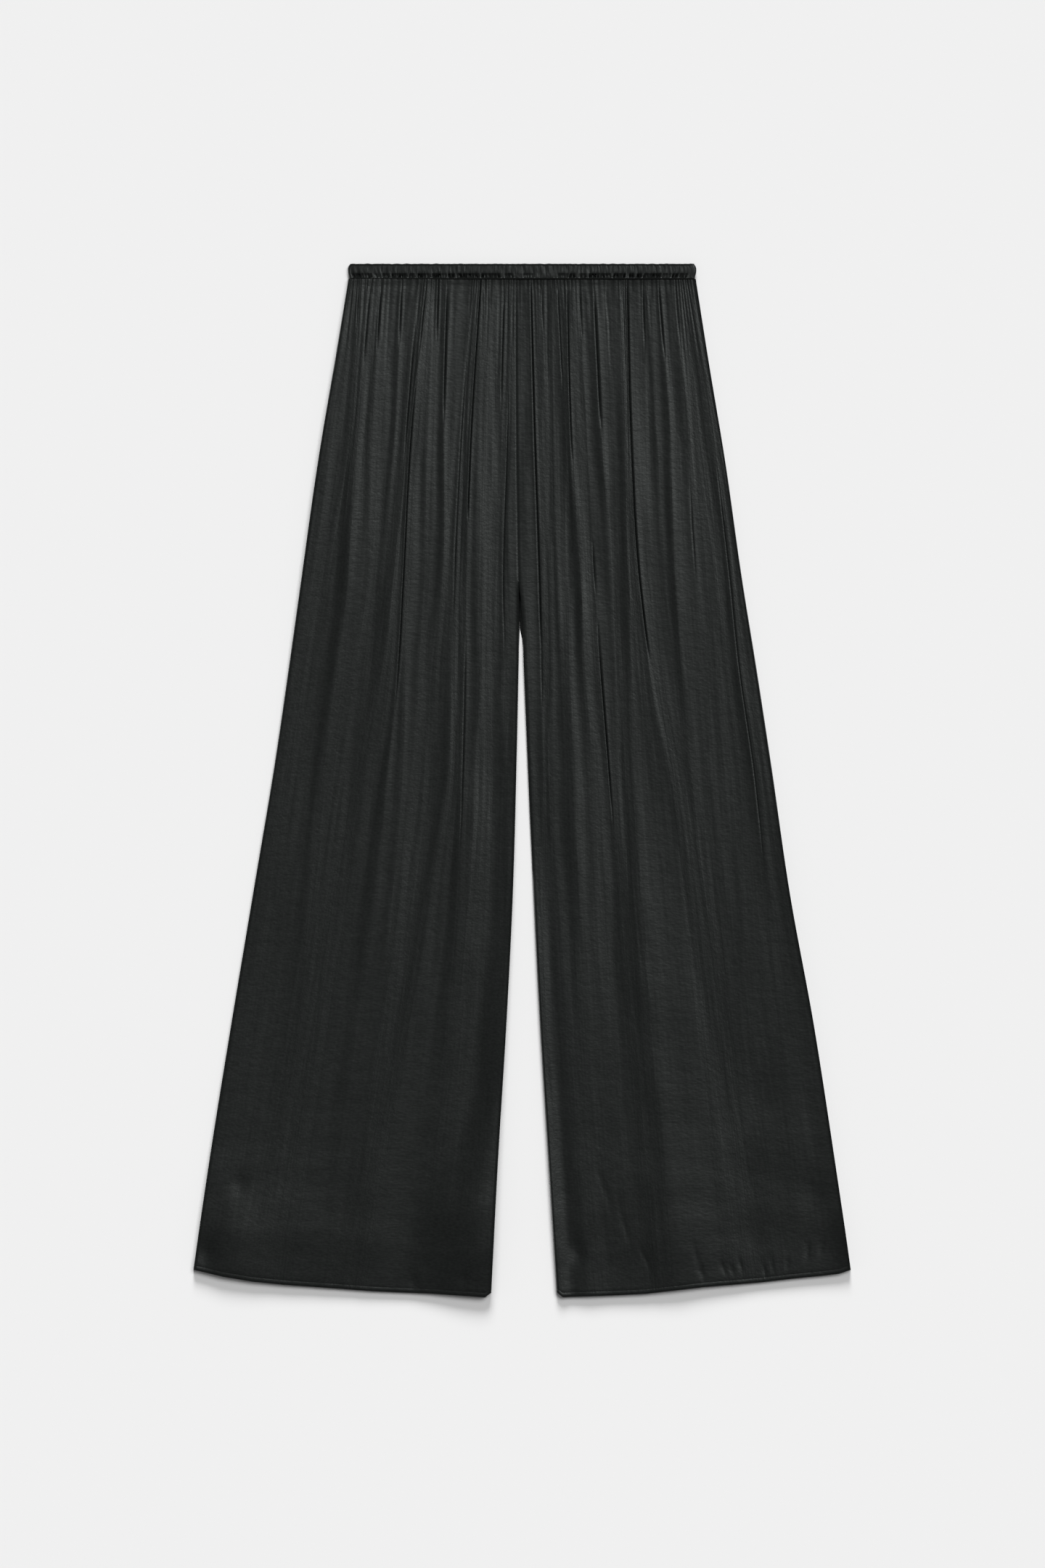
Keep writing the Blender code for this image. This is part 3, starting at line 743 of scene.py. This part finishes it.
# %% Slow waves
# Broad waves, narrower ones that run with the cloth, fine ripples, and waves that cross the leg
# near the hem. Each row gives a wave's size across and along the cloth, its seat in the noise,
# and its height at one or more places down.
Wave =namedtuple("Wave", "across along seat down height")
WAVES = (
    Wave(across=55, along=170, seat=0.0, down=(16,), height=(0.55,)),
    Wave(across=17, along=150, seat=5.0, down=(16,), height=(0.22,)),
    Wave(
        across=6,
        along=80,
        seat=9.0,
        down=(16, 60, 200, 620, 860, 1053),
        height=(0.15, 0.17, 0.2, 0.17, 0.08, 0.06),
    ),
    Wave(across=50, along=35, seat=14.0, down=(800, 930), height=(0.0, 0.6)),
)
WAVE_SHIFT = 40.0  # moves the pattern, so that the two legs differ


def waves(leg, fabric_out, down):
    """How far all waves together lift each corner."""
    total = np.zeros_like(down)
    for wave in WAVES:
        heights = np.interp(down, wave.down, wave.height)
        across = fabric_out / wave.across + WAVE_SHIFT * leg.side
        for r, row in enumerate(down / wave.along):
            swells = [noise_at(x, y, wave.seat) for x, y in zip(across, row)]
            total[r] += heights[r] * np.array(swells)
    return total


# %% [markdown]
# ## Satin
# The cloth is a light viscose satin. Its warp threads float over the weft and lie side by side,
# so it shines softly. The threads are uneven and the finished cloth is a little crinkled, which
# gives the shine a fine grain of 1 to 3 mm, softer patches of a centimetre, and weak long streaks
# along the leg. The thread spacing of 0.1 mm itself is too fine to show.
# A tiled pattern would repeat over a leg a metre long, so this one is made of noise. It
# reads the fabric's own UV map, which holds metres across and along the cloth, so the streaks
# follow each panel as it flares.

# %% Layers of the pattern
SATIN_DARK = "040505"
SATIN_LIGHT = "111312"
ROUGHNESS = 0.36
ROUGHNESS_RANGE = 0.04  # the patches are smoother and rougher than that by this much
SHEEN_LEVEL = 0.395
SHEEN_TINT = (0.945, 1.0, 0.975, 1.0)  # the shine is a trace greener than the lamps
BREAK_UP = 0.55  # how much of the finer noise is mixed into each layer
# Each layer's size across and along the cloth and the height of its bumps, in metres.
Layer = namedtuple("Layer", "across along detail bump")
LAYERS = {
    "streaks": Layer(across=0.0030, along=0.09, detail=1.0, bump=0.00008),
    "patches": Layer(across=0.011, along=0.008, detail=1.0, bump=0.00010),
    "crinkle": Layer(across=0.0042, along=0.0034, detail=1.0, bump=0.00007),
    "grain": Layer(across=0.0024, along=0.0020, detail=0.0, bump=0.00004),
}


def pattern(tree, where, layer):
    """Noise on the cloth, stretched to the layer's size across and along it."""
    scale = (1 / layer.across, 1 / layer.along, 1)
    sized = add_node(tree, "ShaderNodeMapping", {"Vector": where, "Scale": scale})
    inputs = {
        "Vector": sized.outputs["Vector"],
        "Scale": 1.0,
        "Detail": layer.detail,
        "Roughness": BREAK_UP,
    }
    return add_node(tree, "ShaderNodeTexNoise", inputs, noise_dimensions="2D").outputs["Fac"]


def bumps_of(tree, heights):
    """Bump nodes in a row, one for each layer, and the normal that comes out of the last."""
    normal = {}
    for name, height in heights.items():
        inputs = {"Height": height, "Distance": LAYERS[name].bump, "Strength": 1.0, **normal}
        normal = {"Normal": add_node(tree, "ShaderNodeBump", inputs).outputs["Normal"]}
    return normal["Normal"]


# %% Satin material
def satin(name):
    """Black viscose satin: a dark body with a fine grain, soft patches and weak streaks."""
    material = bpy.data.materials.new(name)
    material.use_nodes = True
    tree = material.node_tree
    shader = tree.nodes["Principled BSDF"]
    where = add_node(tree, "ShaderNodeUVMap", uv_map="fabric").outputs["UV"]
    heights = {layer: pattern(tree, where, LAYERS[layer]) for layer in LAYERS}
    tones = {"Factor": heights["grain"], "A": linear(SATIN_DARK), "B": linear(SATIN_LIGHT)}
    tone = add_node(tree, "ShaderNodeMix", tones, data_type="RGBA")
    gloss_range = {
        "Value": heights["patches"],
        "To Min": ROUGHNESS - ROUGHNESS_RANGE,
        "To Max": ROUGHNESS + ROUGHNESS_RANGE,
    }
    gloss = add_node(tree, "ShaderNodeMapRange", gloss_range)
    tree.links.new(tone.outputs["Result"], shader.inputs["Base Color"])
    tree.links.new(gloss.outputs["Result"], shader.inputs["Roughness"])
    tree.links.new(bumps_of(tree, heights), shader.inputs["Normal"])
    shader.inputs["Specular IOR Level"].default_value = SHEEN_LEVEL
    shader.inputs["Specular Tint"].default_value = SHEEN_TINT
    return material


black_satin = satin("black_viscose_satin_woven")
print("satin nodes:", len(black_satin.node_tree.nodes))

# %% [markdown]
# ## The fronts
# Each front is a closed wall of half a millimetre. At the side seam it turns down onto the back,
# and at the inseam it does the same from the crotch down. The seam allowances lie inside the legs
# and are pressed to one side. So the edges towards -X slope down before the steep fall, and the
# edges towards +X stand up in a narrow roll. Seen from above, both draw a thin dark line.
# At the hem the cloth is turned up, so it is thicker over the last millimetres, and a row of
# stitches holds the turned edge. Each stitch is a small pit in the groove of the row.

# %% Edges of the panels
CENTRE_DIP = 0.6  # how deep the centre seam draws the cloth in
DIP_WIDTH = 1.4
PARTING_ABOVE = 20  # the inner edges begin to turn down this far above the crotch point
PARTING_LENGTH = 30
Edge = namedtuple("Edge", "distance drop")
FALLING_EDGE = (Edge(0.0, 9.0), Edge(0.15, 1.2), Edge(1.9, 0.0))
ROLLED_EDGE = (Edge(0.0, 9.0), Edge(0.15, -0.8), Edge(1.9, 0.0))
HEM_EDGE = (Edge(0.0, 9.0), Edge(0.2, 0.9), Edge(1.8, 0.0))
BACK_EDGE = (Edge(0.0, 0.5), Edge(1.1, 0.0))
LegEdges = namedtuple("LegEdges", "inseam side_seam")
EDGES = {
    "right": LegEdges(inseam=ROLLED_EDGE, side_seam=FALLING_EDGE),
    "left": LegEdges(inseam=FALLING_EDGE, side_seam=ROLLED_EDGE),
}


def turned_down(height, distance, edge):
    """The height with the drop at each distance from an edge taken off it, down to nothing."""
    drop = np.interp(distance, column(edge, "distance"), column(edge, "drop"))
    return np.maximum(height - drop, 0)


def with_edges(leg, height, out, down, lines):
    """The height of a front with its seams drawn in and its edges turned down."""
    from_inner = out - lines[0]
    parted = smooth_step((down - FRONT_RISE + PARTING_ABOVE) / PARTING_LENGTH)
    sewn = height - CENTRE_DIP * np.clip(1 - from_inner / DIP_WIDTH, 0, 1) ** 2
    edge = turned_down(height, from_inner, EDGES[leg.name].inseam)
    height = parted * edge + (1 - parted) * sewn
    return turned_down(height, lines[-1] - out, EDGES[leg.name].side_seam)


# %% Stitches of the hem
STITCH = 3.2
STITCH_DEPTH = 0.22
GROOVE_REACH = 0.8
GROOVE_SHARE = 0.35  # between two pits the groove is this share as deep as in them


def stitch_depth(straight, fabric_out):
    """How deep the row of stitches cuts in at each corner."""
    groove = np.clip(1 - np.abs(LENGTH - HEM_TURN - straight) / GROOVE_REACH, 0, 1)
    pits = 0.5 + 0.5 * np.cos(2 * math.pi * fabric_out / STITCH)
    return STITCH_DEPTH * groove * (GROOVE_SHARE + (1 - GROOVE_SHARE) * pits[None, :])


print("stitches in the right hem:", round((SIDE_SEAM[-1].right - INSEAM[-1].right) / STITCH))

# %% Front panels
REST = 0.6  # the front's folded edges lie on the back panels at this height
LOWEST = 0.15  # nothing draws the cloth further down than this above REST
HEM_EXTRA = 0.45
STEEPEST = 2.0  # on a slope the wall is higher than it is thick, up to this many times


def front_height(leg, out, down, lines, fabric_out):
    """How high a front lies above REST, before its edges and its hem are turned."""
    height = along("base", down) + fold_height(leg, out, down, lines)
    height += inseam_rise(leg, out, down)
    height -= slit_depth(leg, out, down, lines)
    height -= gather_dips(leg, out, down)
    height += mark_bumps(leg, out, down)
    height += waves(leg, fabric_out, down)
    return np.maximum(height, LOWEST)


def front_panel(leg):
    """One front as a closed wall of satin."""
    straight, out, down, lines = panel_grid(leg)
    gaps = [np.min(outer - inner) for inner, outer in zip(lines, lines[1:])]
    print(leg.name, "smallest gap between lines:", round(min(gaps), 2), "mm after", np.argmin(gaps))
    fabric_out = out.mean(axis=0)
    height = front_height(leg, out, down, lines, fabric_out)
    height = with_edges(leg, height, out, down, lines)
    height = turned_down(height, LENGTH - straight, HEM_EDGE)
    height -= stitch_depth(straight, fabric_out)
    slope = np.gradient(height, axis=1) / np.gradient(out, axis=1)
    wall = WALL * np.minimum(np.hypot(1, slope), STEEPEST)
    turned = HEM_EXTRA * (straight > LENGTH - HEM_TURN)
    high = REST + height + wall
    low = np.maximum(high - wall - turned, REST)
    piece = cloth_wall(f"front_{leg.name}", out, down, low, high, leg.side, fabric_out)
    piece.data.materials.append(black_satin)
    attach(piece, "root")
    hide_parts(f"front_leg_{leg.name}")
    return piece


fronts = {leg.name: front_panel(leg) for leg in LEGS}
for name, piece in fronts.items():
    print("front", name, len(piece.data.polygons), "faces")

# %% [markdown]
# ## The backs
# The backs lie level on the surface, under the fronts, and their folds don't show. So they need
# no lines of their own, only a plain grid between their two edges. Their rise is longer than the
# fronts', so a strip of them shows in the slit between the legs. There the seam draws them down,
# and the strip mirrors the sides of the slit and looks black.

# %% Back panels
BACK_WALL = 0.55
BACK_HEM_EXTRA = 0.09  # the turned hem is pressed nearly flat
BACK_HEM_SLOPE = 0.5  # the hem's extra begins this far above the turn
BACK_ROWS = panel_rows(first=6.0, growth=1.1, widest=10.0, hem_zone=30)
BACK_COLUMNS = np.array([0.0, 0.0025, 0.005, *np.linspace(0.016, 1, 60)])  # shares of the width


def back_panel(leg):
    """One back as a closed wall of satin."""
    straight = np.tile(BACK_ROWS[:, None], (1, len(BACK_COLUMNS)))
    down = straight - hem_shift(leg, BACK_COLUMNS, straight)
    inner = inner_edge(leg, down, BACK_RISE)
    out = inner + (side_seam(leg, down) - inner) * BACK_COLUMNS[None, :]
    turned = BACK_HEM_EXTRA * smooth_step(straight - (LENGTH - HEM_TURN - BACK_HEM_SLOPE))
    low = np.zeros_like(down)
    high = turned_down(BACK_WALL + turned, out - inner, BACK_EDGE)
    fabric_out = out.mean(axis=0)
    piece = cloth_wall(f"back_{leg.name}", out, down, low, high, leg.side, fabric_out)
    piece.data.materials.append(black_satin)
    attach(piece, "root")
    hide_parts(f"back_leg_{leg.name}")
    return piece


backs = {leg.name: back_panel(leg) for leg in LEGS}
for name, piece in backs.items():
    print("back", name, len(piece.data.polygons), "faces")

# %% [markdown]
# ## The casing
# A tube of the same satin holds the elastic. The cloth of the tube is longer than the elastic, so
# it stands in fine upright ruches. Under the elastic the tube is stitched flat, and there the
# ruches are pinched into short deep tucks, which stand in clusters. A plain lip with the seam ends
# the tube.
# A bump pattern could draw the ruches, but they also make the casing's edges uneven and cast
# shadows. So they are real shape: the tube's section is a short table, and at each station round
# the ring the section is pushed in and out.

# %% Sections of the casing
# Going round the tube's section from its top edge down the outer side and back up the inner
# side: how far it stands off the ring's middle line, how much of the ruches and of the tucks it
# shows, and how far it is drawn in at the ring's two ends.
BAND_RADIUS = 1.75
Section = namedtuple("Section", "down bulge ruche tuck pull", defaults=(0.0, 0.0, 0.0))
SECTION = (
    Section(down=0.0, bulge=-1.3, pull=4.2),
    Section(down=0.05, bulge=1.2, ruche=0.3, pull=3.6),
    Section(down=0.2, bulge=1.4, ruche=0.4, pull=2.8),
    Section(down=1.3, bulge=0.92, ruche=0.6, pull=1.6),
    Section(down=2.4, bulge=0.91, ruche=0.8, pull=0.7),
    Section(down=4.5, bulge=0.88, ruche=0.8),
    Section(down=7.0, bulge=0.85, ruche=0.8),
    Section(down=9.0, bulge=0.83, ruche=0.8, pull=0.2),
    Section(down=10.0, bulge=0.82, ruche=0.8, tuck=0.1, pull=0.4),
    Section(down=10.8, bulge=0.8, ruche=0.8, tuck=0.8, pull=0.6),
    Section(down=12.0, bulge=0.8, ruche=0.8, tuck=1.0, pull=0.9),
    Section(down=13.2, bulge=0.78, ruche=0.8, tuck=1.0, pull=1.1),
    Section(down=14.0, bulge=0.75, ruche=0.8, tuck=1.0, pull=1.2),
    Section(down=14.1, bulge=0.75, ruche=0.6, pull=1.2),
    Section(down=15.4, bulge=0.6, ruche=0.5, pull=1.2),
    Section(down=15.7, bulge=0.3, ruche=0.4, pull=1.2),
    Section(down=15.8, bulge=-1.3, pull=1.2),
    Section(down=15.4, bulge=-1.6, pull=1.2),
    Section(down=8.0, bulge=-1.6, pull=1.0),
    Section(down=0.6, bulge=-1.6, pull=2.4),
)
print("sections of the casing:", len(SECTION))

# %% Clusters of tucks
# Each cluster runs from start to end along X, and its tucks have this share of the full depth.
Pinched = namedtuple("Pinched", "start end depth")
PINCHED = (
    Pinched(-173, -165, 0.7),
    Pinched(-164, -154, 0.5),
    Pinched(-150, -147, 0.4),
    Pinched(-142, -136, 0.8),
    Pinched(-133, -118, 0.7),
    Pinched(-115, -110, 0.8),
    Pinched(-106, -102, 1.0),
    Pinched(-101, -94, 0.6),
    Pinched(-91, -84, 1.0),
    Pinched(-82, -77, 0.3),
    Pinched(-75, -70, 1.0),
    Pinched(-66, -62, 0.8),
    Pinched(-60, -53, 1.0),
    Pinched(-51, -44, 1.0),
    Pinched(-41, -35, 0.9),
    Pinched(-34, -22, 1.0),
    Pinched(-17, -10, 0.6),
    Pinched(2, 13, 0.3),
    Pinched(37, 47, 0.4),
    Pinched(49, 54, 1.0),
    Pinched(60, 65, 0.5),
    Pinched(69, 76, 1.0),
    Pinched(77, 90, 0.6),
    Pinched(94, 105, 1.0),
    Pinched(110, 114, 0.8),
    Pinched(118, 122, 1.0),
    Pinched(125, 130, 0.7),
    Pinched(131, 142, 1.0),
    Pinched(144, 152, 0.3),
    Pinched(154, 159, 0.7),
    Pinched(162, 168, 0.5),
)
TUCK_SEED = 5
TUCK_DEPTH = 2.0
TUCK_DEPTHS = (0.5, 1.2)  # shares of the depth, a range to draw from
TUCK_WIDTHS = (0.6, 1.1)
TUCK_LEANS = (-0.3, 0.3)  # how far a tuck leans over for each millimetre down
TUCK_SPACING = 2.6
TUCK_STEPS = (0.65, 1.45)  # shares of the spacing
TUCK_START = 0.5  # from the start of a cluster to its first tuck
TUCK_DOWN = 12.5  # the tucks lean about this distance down
PINCH_DEPTH = 0.45  # the cloth between the tucks of a cluster is drawn down by this much
PINCH_FADE = 2
Tuck = namedtuple("Tuck", "x depth width lean")


def tucks():
    """The tucks of all clusters."""
    dice = random.Random(TUCK_SEED)
    places = []
    for stretch in PINCHED:
        x = stretch.start + TUCK_START
        while x < stretch.end:
            depth = stretch.depth * TUCK_DEPTH * dice.uniform(*TUCK_DEPTHS)
            width, lean = dice.uniform(*TUCK_WIDTHS), dice.uniform(*TUCK_LEANS)
            places.append(Tuck(x, depth, width, lean))
            x += TUCK_SPACING * dice.uniform(*TUCK_STEPS)
    return places


def pinch_depth(x):
    """How deep the clusters draw down the cloth between their tucks."""
    pinch = np.zeros(len(x))
    for stretch in PINCHED:
        inside = np.minimum(x - stretch.start, stretch.end - x)
        fading = smooth_step(0.5 + inside / PINCH_FADE)
        pinch = np.maximum(pinch, PINCH_DEPTH * stretch.depth * fading)
    return pinch


def tuck_depth(x, section, places):
    """How deep the deepest tuck is at each x, on this section."""
    depth = np.zeros(len(x))
    for place in places:
        away = (x - place.x - place.lean * (section.down - TUCK_DOWN)) / place.width
        depth = np.maximum(depth, place.depth * np.exp(-(away**2)))
    return depth


print("tucks:", len(tucks()))

# %% Ruches and the ring
Ruche = namedtuple("Ruche", "across along seat height")
RUCHES = (
    Ruche(across=3.2, along=7, seat=2.0, height=0.27),
    Ruche(across=1.4, along=5, seat=8.0, height=0.11),
)
END_DROP = 0.9  # the casing slopes down at its right end
END_WIDTH = 13.0
END_ROOM = 1.8  # what the section adds to the ring's radius at its two ends
FRONT_STATIONS, END_STATIONS, BACK_STATIONS = 781, 12, 141
FRONT_ANGLE, BACK_ANGLE = 90.0, 270.0


def band_path():
    """Stations round the flattened ring: x, and the angle outwards."""
    straight = BAND_HALF_WIDTH - BAND_RADIUS - END_ROOM
    to_back = np.linspace(FRONT_ANGLE, BACK_ANGLE, END_STATIONS)[1:-1]
    stations = [(x, FRONT_ANGLE) for x in np.linspace(straight, -straight, FRONT_STATIONS)]
    stations.extend((-straight, turn) for turn in to_back)
    stations.extend((x, BACK_ANGLE) for x in np.linspace(-straight, straight, BACK_STATIONS))
    stations.extend((straight, turn + 180) for turn in to_back)
    return stations


def casing_profile(stations):
    """How far the casing stands off its middle line, by section and station."""
    x = np.array([station[0] for station in stations])
    front = np.array([station[1] == FRONT_ANGLE for station in stations])
    places, pinch = tucks(), pinch_depth(x)
    end = END_DROP * np.clip(1 - (x + BAND_HALF_WIDTH) / END_WIDTH, 0, 1) ** 2
    offs = []
    for section in SECTION:
        lifted = np.zeros(len(x))
        for ruche in RUCHES:
            place_down = section.down / ruche.along
            lifts = [noise_at(v / ruche.across, place_down, ruche.seat) for v in x]
            lifted += ruche.height * np.array(lifts)
        drawn_in = section.tuck * (tuck_depth(x, section, places) + pinch)
        offs.append(section.bulge + section.ruche * lifted - drawn_in * front - end * front)
    return offs


# %% Casing
BAND_LIFT = 1.5  # from the surface to the lowest point of the ring's middle line
CASING_SHARP_ANGLE = 50
STATION_CLOTH = 0.0006  # m of cloth from station to station
SECTION_CLOTH = 0.001  # m of cloth from section to section
WELD = 0.00001  # m, the seam of the grid closes within this distance
SCALLOP = 0.5  # how much the ruches make the top edge uneven
SCALLOP_LENGTH = 5
SCALLOP_SEAT = 3.0
SCALLOP_ABOVE = 1  # only the sections above this distance down are uneven


def casing():
    """The casing as a closed ring: stations run round the garment, sections round the tube."""
    stations = band_path()
    offs = casing_profile(stations)
    count, round_count = len(stations), len(SECTION)
    mesh = unit_grid(count, round_count)
    fabric = mesh.loops.layers.uv.new("fabric")
    for face in mesh.faces:
        for loop in face.loops:
            loop[fabric].uv = (loop.vert.co.x * STATION_CLOTH, loop.vert.co.y * SECTION_CLOTH)
    for vertex in mesh.verts:
        k, s = round(vertex.co.x) % count, round(vertex.co.y) % round_count
        section = SECTION[s]
        x, turn = stations[k]
        x *= 1 - section.pull / BAND_HALF_WIDTH
        down = section.down
        if down < SCALLOP_ABOVE:
            down -= SCALLOP * noise_at(x / SCALLOP_LENGTH, 0.0, SCALLOP_SEAT)
        angle = math.radians(turn)
        reach = BAND_RADIUS + offs[s][k]
        vertex.co = (
            (x + reach * math.cos(angle)) * MM,
            (LENGTH / 2 - down) * MM,
            (BAND_LIFT + BAND_RADIUS + reach * math.sin(angle)) * MM,
        )
    bmesh.ops.remove_doubles(mesh, verts=mesh.verts, dist=WELD)
    piece = piece_from(mesh, "casing", CASING_SHARP_ANGLE)
    piece.data.materials.append(black_satin)
    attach(piece, "root")
    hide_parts("waistband")
    return piece


band = casing()
print("casing", len(band.data.polygons), "faces")
